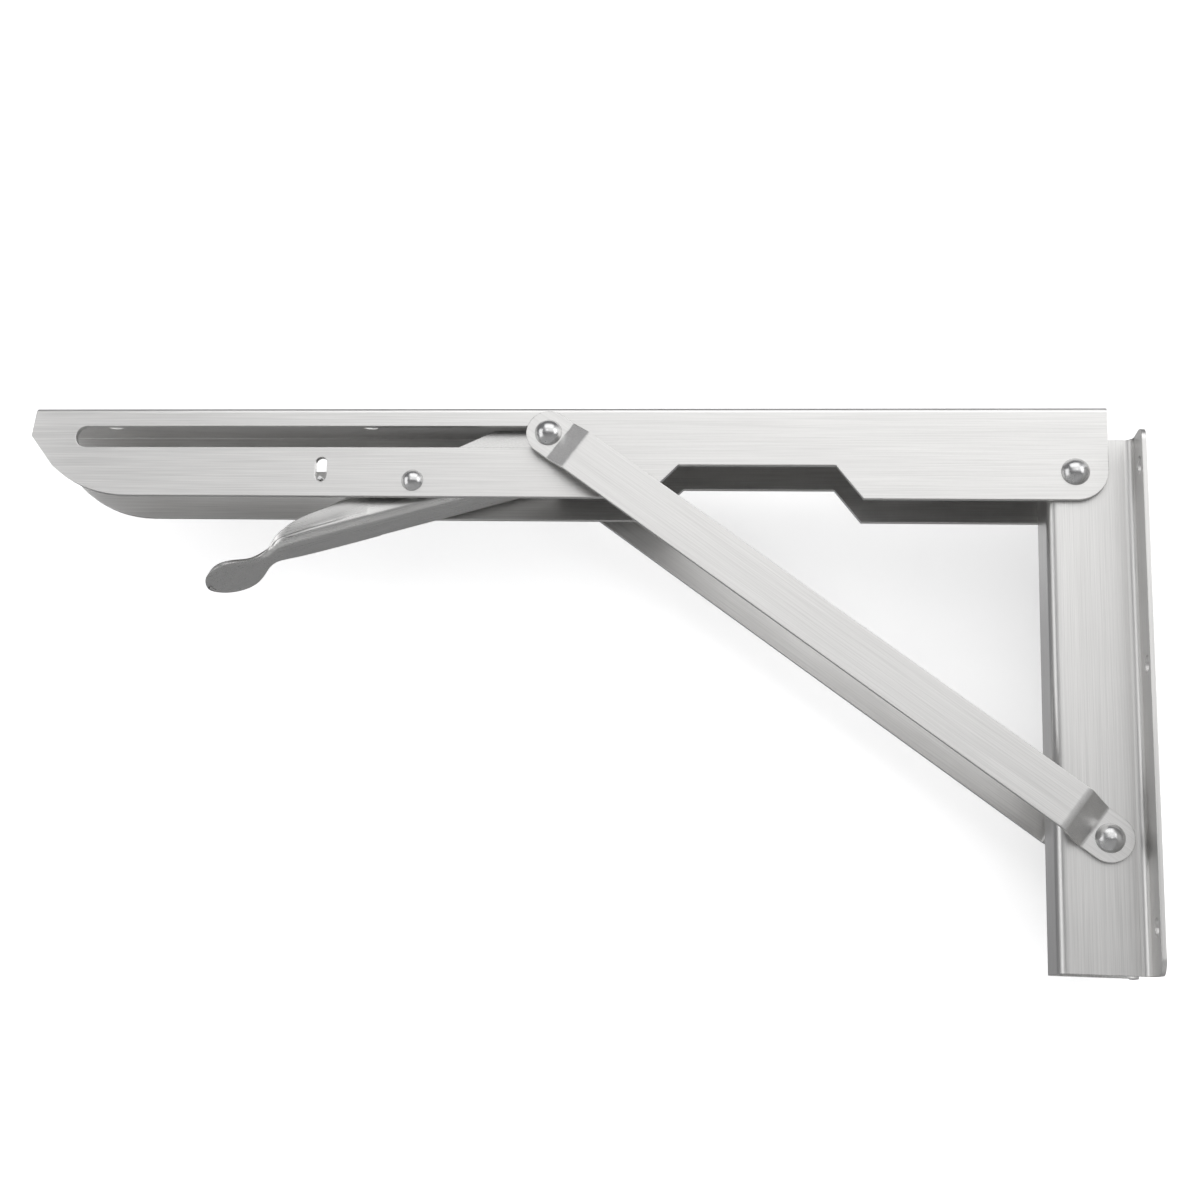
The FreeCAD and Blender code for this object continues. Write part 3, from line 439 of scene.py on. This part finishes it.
def brushed_steel(name, tilt=0.0, upright=False, tone=1.0, roughness=None, grain=1.0):
    """Brushed stainless steel, its grain along X, tilted in side view, or upright."""
    finish = bpy.context.scene.bracket_finish
    rough = finish.roughness if roughness is None else roughness
    steel = [part * tone for part in finish.steel]
    dark = [part * DARK_GRAIN for part in steel]
    light = [min(part * LIGHT_GRAIN, 1.0) for part in steel]
    material, tree, shader, place = bare_metal(name)
    turn = put(tree, "ShaderNodeMapping")
    turn.inputs["Rotation"].default_value = (0.0, math.radians(90) if upright else tilt, 0.0)
    link(tree, place, turn.inputs["Vector"])
    marks = group_node(tree, grain_group(), Length=GRAIN_LENGTH, Fineness=GRAIN_FINENESS)
    link(tree, turn.outputs[0], marks.inputs["Vector"])
    streaks = marks.outputs["Streaks"]
    bands = marks.outputs["Bands"]
    clouds = marks.outputs["Clouds"]
    edges = group_node(tree, edge_group(), Radius=finish.edge)
    tint = add_values(tree, [(bands, BAND_TINT), (clouds, CLOUD_TINT), (streaks, STREAK_TINT)], TINT_BASE)
    link(tree, mix_colour(tree, tint, dark, light), shader.inputs["Base Color"])
    polish = add_values(tree, [
        (streaks, STREAK_ROUGHNESS), (clouds, CLOUD_ROUGHNESS),
        (edges.outputs["Edge"], EDGE_ROUGHNESS)], rough)
    link(tree, polish, shader.inputs["Roughness"])
    raise_marks(tree, shader, streaks, edges, GRAIN_HEIGHT * grain)
    return material


def polished_steel(name, roughness, tone):
    """Polished steel with a little haze."""
    finish = bpy.context.scene.bracket_finish
    polish = [part * tone for part in finish.polish]
    dull = [part * HAZE_SHADE for part in polish]
    material, tree, shader, place = bare_metal(name)
    haze = put(tree, "ShaderNodeTexNoise")
    haze.inputs["Scale"].default_value = HAZE_SCALE
    haze.inputs["Detail"].default_value = HAZE_DETAIL
    link(tree, place, haze.inputs["Vector"])
    edges = group_node(tree, edge_group(), Radius=finish.edge)
    link(tree, mix_colour(tree, haze.outputs["Fac"], dull, polish), shader.inputs["Base Color"])
    least, most = [roughness * part for part in HAZE_ROUGHNESS]
    gloss = ramp_between(tree, haze.outputs["Fac"], *HAZE_RANGE, least, most)
    link(tree, gloss, shader.inputs["Roughness"])
    raise_marks(tree, shader, haze.outputs["Fac"], edges, HAZE_HEIGHT)
    return material


def dress(node, material):
    """Give a CAD node its material."""
    slots = NODES[node].data.materials
    slots.clear()
    slots.append(material)


class BRACKET_OT_sheet_finish(bpy.types.Operator):
    """Brush the arm, the wall channel and the struts, each along its own length"""

    bl_idname = "bracket.sheet_finish"
    bl_label = "Brush the sheet pieces"

    def execute(self, context):
        dress("arm_channel", brushed_steel("steel_arm"))
        dress("wall_channel", brushed_steel("steel_wall_channel", upright=True, tone=0.97))
        for node in ("near_strut", "far_strut"):
            dress(node, brushed_steel("steel_" + node, tilt=STRUT_TILT))
        return {"FINISHED"}


class BRACKET_OT_small_parts(bpy.types.Operator):
    """Finish the rivets, sleeve, spacers, washers, studs, crossbar and spring"""

    bl_idname = "bracket.small_parts"
    bl_label = "Finish the small parts"

    def execute(self, context):
        for node in NODES:
            if node.endswith("rivet"):
                dress(node, polished_steel("polish_" + node, roughness=0.24, tone=0.74))
            elif node.endswith(("spacer", "sleeve", "washer", "stud", "crossbar")):
                dress(node, polished_steel("turned_" + node, roughness=0.22, tone=0.85))
        dress("return_spring", polished_steel("spring_wire", roughness=0.18, tone=0.8))
        return {"FINISHED"}


def limited(value):
    """A value kept between 0 and 1."""
    return max(0.0, min(1.0, value))


def smooth_between(spots, place):
    """Value at a place on a smooth curve through (place, value) spots."""
    places = [spot[0] for spot in spots]
    values = [spot[1] for spot in spots]
    last = len(spots) - 1
    index = max(0, min(last - 1, sum(1 for item in places if item <= place) - 1))
    before = max(index - 1, 0)
    after = min(index + 2, last)
    run = places[index + 1] - places[index]
    rise_in = (values[index + 1] - values[before]) / (places[index + 1] - places[before]) * run
    rise_out = (values[after] - values[index]) / (places[after] - places[index]) * run
    share = limited((place - places[index]) / run)
    early = 2 * share ** 3 - 3 * share ** 2 + 1
    leaving = share ** 3 - 2 * share ** 2 + share
    late = 3 * share ** 2 - 2 * share ** 3
    arriving = share ** 3 - share ** 2
    return values[index] * early + rise_in * leaving + values[index + 1] * late + rise_out * arriving


def lever_underside(sizes, reach):
    """Height of the lever's underside from its rivet: handle, then neck, then paddle."""
    neck = min(max(reach - sizes.handle_run, 0.0), sizes.neck_run)
    paddle = max(reach - sizes.handle_run - sizes.neck_run, 0.0)
    handle = min(reach, sizes.handle_run)
    return (-sizes.handle_depth - handle * math.tan(sizes.handle_slope) - neck * math.tan(sizes.neck_slope)
            - paddle * math.tan(sizes.paddle_slope))


def lever_base(sizes, reach):
    """Height of the lever's underside with its bends eased."""
    ease = [lever_underside(sizes, reach + step * sizes.bend_ease / EASE_STEPS)
            for step in range(-EASE_STEPS, EASE_STEPS + 1)]
    return sum(ease) / len(ease)


def oval_half(sizes, reach):
    """Half the width of the paddle's oval."""
    half_length = sizes.paddle_length / 2
    centre = sizes.handle_run + sizes.neck_run + half_length
    off = min(abs(reach - centre) / half_length, 1.0)
    return sizes.paddle_half_width * math.sqrt(1 - off ** 2)


def lever_half(sizes, reach):
    """Half the width of the lever in plan: handle, waist, then oval paddle."""
    if reach > sizes.flare_reach:
        return max(oval_half(sizes, reach), TIP_HALF)
    return smooth_between([
        (0.0, sizes.half_width), (TAPER_START, sizes.half_width),
        (TAPER_REACH, sizes.half_width * TAPER_SHARE), (sizes.waist_reach, sizes.waist_half),
        (sizes.flare_reach, oval_half(sizes, sizes.flare_reach))], reach)


def lever_cheek(sizes, reach, half):
    """Height of the lever's cheek, and of the low rim that it becomes on the paddle."""
    cheek = smooth_between([
        (sizes.seam_reach, SEAM_CHEEK), *CHEEK_SPOTS, (RIM_START, sizes.rim), (RIM_END, sizes.rim)], reach)
    if reach > sizes.flare_reach:
        cheek = min(cheek, half * RIM_SHARE)
    return cheek


def lever_roll(sizes, reach):
    """Angle through which the edge of the sheet is rolled up."""
    return smooth_between([
        (0.0, SQUARE_ROLL), (SQUARE_END, SQUARE_ROLL), (sizes.waist_reach, WAIST_ROLL),
        (PADDLE_ROLL_REACH, PADDLE_ROLL), (TIP_ROLL_REACH, TIP_ROLL)], reach)


def lever_press(sizes, reach):
    """How fully the lean and the crease are pressed: nothing at seam and waist, 1 between them."""
    rising = limited((reach - sizes.seam_reach) / sizes.press_run)
    falling = limited((sizes.waist_reach - reach) / sizes.press_run)
    return rising * falling


def lever_point(sizes, reach, around):
    """Point on the outside of the lever's sheet, from -1 at its near edge to 1 at its far edge."""
    half = lever_half(sizes, reach)
    cheek = lever_cheek(sizes, reach, half)
    roll = lever_roll(sizes, reach)
    bend = min(sizes.corner_radius, BEND_FILL * cheek / (1 - math.cos(roll)), half / 2)
    wall = (cheek - bend * (1 - math.cos(roll))) / math.sin(roll)
    flat = half - bend * math.sin(roll) - wall * math.cos(roll)
    share = abs(around)
    side = math.copysign(1.0, around)
    turn = roll * limited((share - FLAT_SHARE) / (BEND_SHARE - FLAT_SHARE))
    risen = max(0.0, (share - BEND_SHARE) / (1 - BEND_SHARE))
    across = flat * min(share / FLAT_SHARE, 1.0) + bend * math.sin(turn) + wall * risen * math.cos(roll)
    height = bend * (1 - math.cos(turn)) + wall * risen * math.sin(roll)
    lean = sizes.lean * wall * math.sin(risen * math.pi / 2)
    crease = sizes.crease * min(risen / CREASE_SHARE, 1.0)
    across += lever_press(sizes, reach) * (lean - crease)
    return LEVER_PIVOT + Vector((-reach, side * across, lever_base(sizes, reach) + height))


def mark_sharp(shape, angle):
    """Shade smooth, apart from edges that turn by more than an angle."""
    for face in shape.faces:
        face.smooth = True
    for edge in shape.edges:
        edge.smooth = len(edge.link_faces) == 2 and edge.calc_face_angle(0.0) < angle


def finished_piece(name, shape, material, body):
    """Turn a bmesh into a piece that rides on a body."""
    mesh = bpy.data.meshes.new(name)
    shape.to_mesh(mesh)
    shape.free()
    mesh.materials.append(material)
    piece = bpy.data.objects.new(name, mesh)
    bpy.context.scene.collection.objects.link(piece)
    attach(piece, body)
    return piece


def stamped_handle(sizes):
    """Handle, neck and paddle of the lever, formed from one grid of sheet."""
    shape = bmesh.new()
    bmesh.ops.create_grid(shape, x_segments=sizes.steps_along, y_segments=sizes.steps_around, size=1.0)
    start = sizes.seam_reach + sizes.seam_gap
    tip_reach = sizes.handle_run + sizes.neck_run + sizes.paddle_length
    for vert in shape.verts:
        along = math.sin((vert.co.x + 1) / 2 * math.pi / 2)
        reach = start + (tip_reach - start) * along
        vert.co = lever_point(sizes, reach, vert.co.y)
    bmesh.ops.recalc_face_normals(shape, faces=shape.faces)
    central = min(shape.faces, key=lambda face: abs(face.calc_center_median().y - LEVER_PIVOT.y))
    if central.normal.z > 0:
        bmesh.ops.reverse_faces(shape, faces=shape.faces)
    bmesh.ops.solidify(shape, geom=shape.faces[:], thickness=sizes.sheet)
    shape.normal_update()
    end = LEVER_PIVOT.x - start - sizes.sheet
    caps = [face for face in shape.faces
            if abs(face.normal.x) > END_FACING and face.calc_center_median().x > end]
    bmesh.ops.delete(shape, geom=caps, context="FACES")
    return shape


def cut_nose(sizes):
    """Nose and pivot ear of the lever, cut from the CAD node where the handle starts."""
    shape = bmesh.new()
    shape.from_mesh(NODES["release_lever"].data)
    bmesh.ops.remove_doubles(shape, verts=shape.verts, dist=MERGE_GAP)
    seam = LEVER_PIVOT - Vector((sizes.seam_reach, 0.0, 0.0))
    bmesh.ops.bisect_plane(
        shape, geom=shape.verts[:] + shape.edges[:] + shape.faces[:], plane_co=seam,
        plane_no=(-1.0, 0.0, 0.0), clear_outer=True)
    return shape


class BRACKET_OT_release_lever(bpy.types.Operator):
    """Form the release lever with its rolled handle, narrow neck and oval thumb paddle"""

    bl_idname = "bracket.release_lever"
    bl_label = "Form the release lever"

    def execute(self, context):
        sizes = context.scene.bracket_lever
        shape = stamped_handle(sizes)
        nose = cut_nose(sizes)
        nose_mesh = bpy.data.meshes.new("lever_nose")
        nose.to_mesh(nose_mesh)
        nose.free()
        shape.from_mesh(nose_mesh)
        bpy.data.meshes.remove(nose_mesh)
        rims = [edge for edge in shape.edges if edge.is_boundary]
        bmesh.ops.bridge_loops(shape, edges=rims)
        if any(not edge.is_manifold for edge in shape.edges):
            raise RuntimeError("the lever's seam is open")
        mark_sharp(shape, SHARP_ANGLE)
        satin = brushed_steel("satin_lever", tilt=sizes.handle_slope, tone=0.95, roughness=0.22, grain=0.12)
        piece = finished_piece("formed_lever", shape, satin, "lever")
        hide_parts("release_lever")
        return {"FINISHED"}


def card_material(name, colour, glow, flag=None):
    """Matt card that glows a little.

    In reflections it is a grey flag. With no flag it is clear there, to shadow rays and from behind.
    """
    material = bpy.data.materials.new(name)
    material.use_nodes = True
    tree = material.node_tree
    tree.nodes.clear()
    output = put(tree, "ShaderNodeOutputMaterial")
    matt = put(tree, "ShaderNodeBsdfDiffuse")
    place = put(tree, "ShaderNodeTexCoord")
    mottle = put(tree, "ShaderNodeTexNoise")
    mottle.inputs["Scale"].default_value = MOTTLE_SCALE
    link(tree, place.outputs["Object"], mottle.inputs["Vector"])
    faded = [part * MOTTLE_SHADE for part in colour]
    link(tree, mix_colour(tree, mottle.outputs["Fac"], faded, colour), matt.inputs["Color"])
    lift = put(tree, "ShaderNodeEmission")
    lift.inputs["Strength"].default_value = glow
    lit = put(tree, "ShaderNodeAddShader")
    link(tree, matt.outputs[0], lit.inputs[0])
    link(tree, lift.outputs[0], lit.inputs[1])
    rays = put(tree, "ShaderNodeLightPath")
    swapped = rays.outputs["Is Glossy Ray"]
    if flag is None:
        other = put(tree, "ShaderNodeBsdfTransparent")
        geometry = put(tree, "ShaderNodeNewGeometry")
        for mask in (rays.outputs["Is Shadow Ray"], geometry.outputs["Backfacing"]):
            either = put(tree, "ShaderNodeMath", operation="MAXIMUM")
            link(tree, swapped, either.inputs[0])
            link(tree, mask, either.inputs[1])
            swapped = either.outputs[0]
    else:
        other = put(tree, "ShaderNodeBsdfDiffuse")
        other.inputs["Color"].default_value = (flag, flag, flag, 1.0)
    seen = put(tree, "ShaderNodeMixShader")
    link(tree, swapped, seen.inputs[0])
    link(tree, lit.outputs[0], seen.inputs[1])
    link(tree, other.outputs[0], seen.inputs[2])
    link(tree, seen.outputs[0], output.inputs["Surface"])
    return material


def stage_plane(name, size, place, turn, material):
    """One flat sheet of the studio."""
    mesh = bpy.data.meshes.new(name)
    shape = bmesh.new()
    bmesh.ops.create_grid(shape, x_segments=1, y_segments=1, size=size / 2)
    bmesh.ops.transform(shape, matrix=Matrix.Translation(place) @ turn, verts=shape.verts)
    shape.to_mesh(mesh)
    shape.free()
    mesh.materials.append(material)
    plane = bpy.data.objects.new(name, mesh)
    bpy.context.scene.collection.objects.link(plane)


def aim(thing, target):
    """Point a light at a place."""
    toward = Vector(target) - thing.location
    thing.rotation_euler = toward.to_track_quat("-Z", "Y").to_euler()


def soft_light(name, place, width, height, target, power):
    """One softbox that faces a target."""
    light = bpy.data.lights.new(name, "AREA")
    light.shape = "RECTANGLE"
    light.size = width
    light.size_y = height
    light.energy = power
    lamp = bpy.data.objects.new(name, light)
    lamp.location = place
    bpy.context.scene.collection.objects.link(lamp)
    aim(lamp, target)


def camera_matrix(place, yaw, pitch, roll):
    """Camera matrix from its place and its three turns."""
    forward = Vector((math.sin(yaw) * math.cos(pitch), math.cos(yaw) * math.cos(pitch), math.sin(pitch)))
    right = Vector((math.cos(yaw), -math.sin(yaw), 0.0))
    up = right.cross(forward)
    right_rolled = right * math.cos(roll) + up * math.sin(roll)
    up_rolled = up * math.cos(roll) - right * math.sin(roll)
    turn = Matrix((right_rolled, up_rolled, -forward)).transposed()
    return Matrix.Translation(place) @ turn.to_4x4()


def studio_air(strength):
    """White tent that the camera sees as plain white.

    It lights from in front and above the horizon, and less from overhead, below, behind and far left.
    """
    world = bpy.data.worlds.new("studio_air")
    world.use_nodes = True
    tree = world.node_tree
    sky = tree.nodes["Background"]
    place = put(tree, "ShaderNodeTexCoord")
    parts = put(tree, "ShaderNodeSeparateXYZ")
    link(tree, place.outputs["Generated"], parts.inputs[0])
    over_horizon = smooth_range(tree, parts.outputs["Z"], *OVER_HORIZON)
    under_zenith = smooth_range(tree, parts.outputs["Z"], *UNDER_ZENITH)
    right_of_tip = smooth_range(tree, parts.outputs["X"], *RIGHT_OF_TIP)
    height = put(tree, "ShaderNodeMath", operation="MULTIPLY")
    link(tree, over_horizon, height.inputs[0])
    link(tree, under_zenith, height.inputs[1])
    glow = put(tree, "ShaderNodeMath", operation="MULTIPLY")
    link(tree, height.outputs[0], glow.inputs[0])
    link(tree, right_of_tip, glow.inputs[1])
    behind = smooth_range(tree, parts.outputs["Y"], *TO_THE_BACK)
    front = put(tree, "ShaderNodeMath", operation="MULTIPLY")
    link(tree, glow.outputs[0], front.inputs[0])
    link(tree, ramp_between(tree, behind, 0.0, 1.0, 1.0, BACK_LIGHT), front.inputs[1])
    link(tree, mix_colour(tree, front.outputs[0], TENT_SHADE, WHITE), sky.inputs["Color"])
    sky.inputs["Strength"].default_value = strength
    plain_sky = put(tree, "ShaderNodeBackground")
    rays = put(tree, "ShaderNodeLightPath")
    seen = put(tree, "ShaderNodeMixShader")
    link(tree, rays.outputs["Is Camera Ray"], seen.inputs[0])
    link(tree, sky.outputs[0], seen.inputs[1])
    link(tree, plain_sky.outputs[0], seen.inputs[2])
    plain_sky.inputs["Color"].default_value = (*WHITE, 1.0)
    link(tree, seen.outputs[0], tree.nodes["World Output"].inputs["Surface"])
    return world


class BRACKET_OT_studio(bpy.types.Operator):
    """Set up the pale board and floor, the soft lights and the camera"""

    bl_idname = "bracket.studio"
    bl_label = "Build the studio"

    def execute(self, context):
        studio = context.scene.bracket_studio
        low = Vector(CAD_BOX[0])
        high = Vector(CAD_BOX[1])
        centre = (low + high) / 2
        board_place = Vector((centre.x, high.y + studio.board_gap, centre.z))
        stage_plane("board", BOARD_SIZE, board_place, Matrix.Rotation(math.radians(90), 4, "X"),
                    card_material("board_paint", studio.board, studio.glow))
        floor_place = Vector((centre.x, 0.0, low.z - studio.floor_drop))
        stage_plane("floor", FLOOR_SIZE, floor_place, Matrix.Identity(4),
                    card_material("floor_paint", studio.floor, studio.glow * FLOOR_GLOW, studio.flag))
        target = (centre.x, 0.0, centre.z)
        soft_light(*TOP_SOFTBOX, target, studio.top_power)
        for softbox in SIDE_SOFTBOXES:
            soft_light(*softbox, target, studio.side_power)
        context.scene.world = studio_air(studio.air)
        lens = bpy.data.cameras.new("photo_camera")
        lens.lens = studio.lens
        lens.sensor_width = SENSOR_WIDTH
        lens.clip_start = CLIP_START
        camera = bpy.data.objects.new("photo_camera", lens)
        context.scene.collection.objects.link(camera)
        camera.matrix_world = camera_matrix(Vector(CAMERA_PLACE), CAMERA_YAW, CAMERA_PITCH, CAMERA_ROLL)
        context.scene.camera = camera
        context.scene.view_settings.view_transform = "Standard"
        return {"FINISHED"}


class BRACKET_PT_panel(bpy.types.Panel):
    """Lists the steps that dress the bracket"""

    bl_idname = "BRACKET_PT_panel"
    bl_label = "Folding bracket"
    bl_space_type = "VIEW_3D"
    bl_region_type = "UI"
    bl_category = "Bracket"

    def draw(self, context):
        column = self.layout.column()
        scene = context.scene
        for group in (scene.bracket_finish, scene.bracket_lever, scene.bracket_studio):
            for name in group.bl_rna.properties.keys():
                if name not in ("rna_type", "name"):
                    column.prop(group, name)
        for operator in OPERATORS:
            column.operator(operator.bl_idname)


OPERATORS = (
    BRACKET_OT_studio,
    BRACKET_OT_sheet_finish,
    BRACKET_OT_small_parts,
    BRACKET_OT_release_lever,
)
CLASSES = (BracketFinish, BracketLever, BracketStudio, *OPERATORS, BRACKET_PT_panel)


def register():
    """Register the classes and the scene's settings."""
    for item in CLASSES:
        bpy.utils.register_class(item)
    bpy.types.Scene.bracket_finish = bpy.props.PointerProperty(type=BracketFinish)
    bpy.types.Scene.bracket_lever = bpy.props.PointerProperty(type=BracketLever)
    bpy.types.Scene.bracket_studio = bpy.props.PointerProperty(type=BracketStudio)


def unregister():
    """Remove the settings and the classes."""
    del bpy.types.Scene.bracket_studio
    del bpy.types.Scene.bracket_lever
    del bpy.types.Scene.bracket_finish
    for item in reversed(CLASSES):
        bpy.utils.unregister_class(item)


def main():
    """Build everything in order."""
    register()
    bpy.ops.bracket.studio()
    bpy.ops.bracket.sheet_finish()
    bpy.ops.bracket.small_parts()
    bpy.ops.bracket.release_lever()


if __name__ == "__main__":
    main()
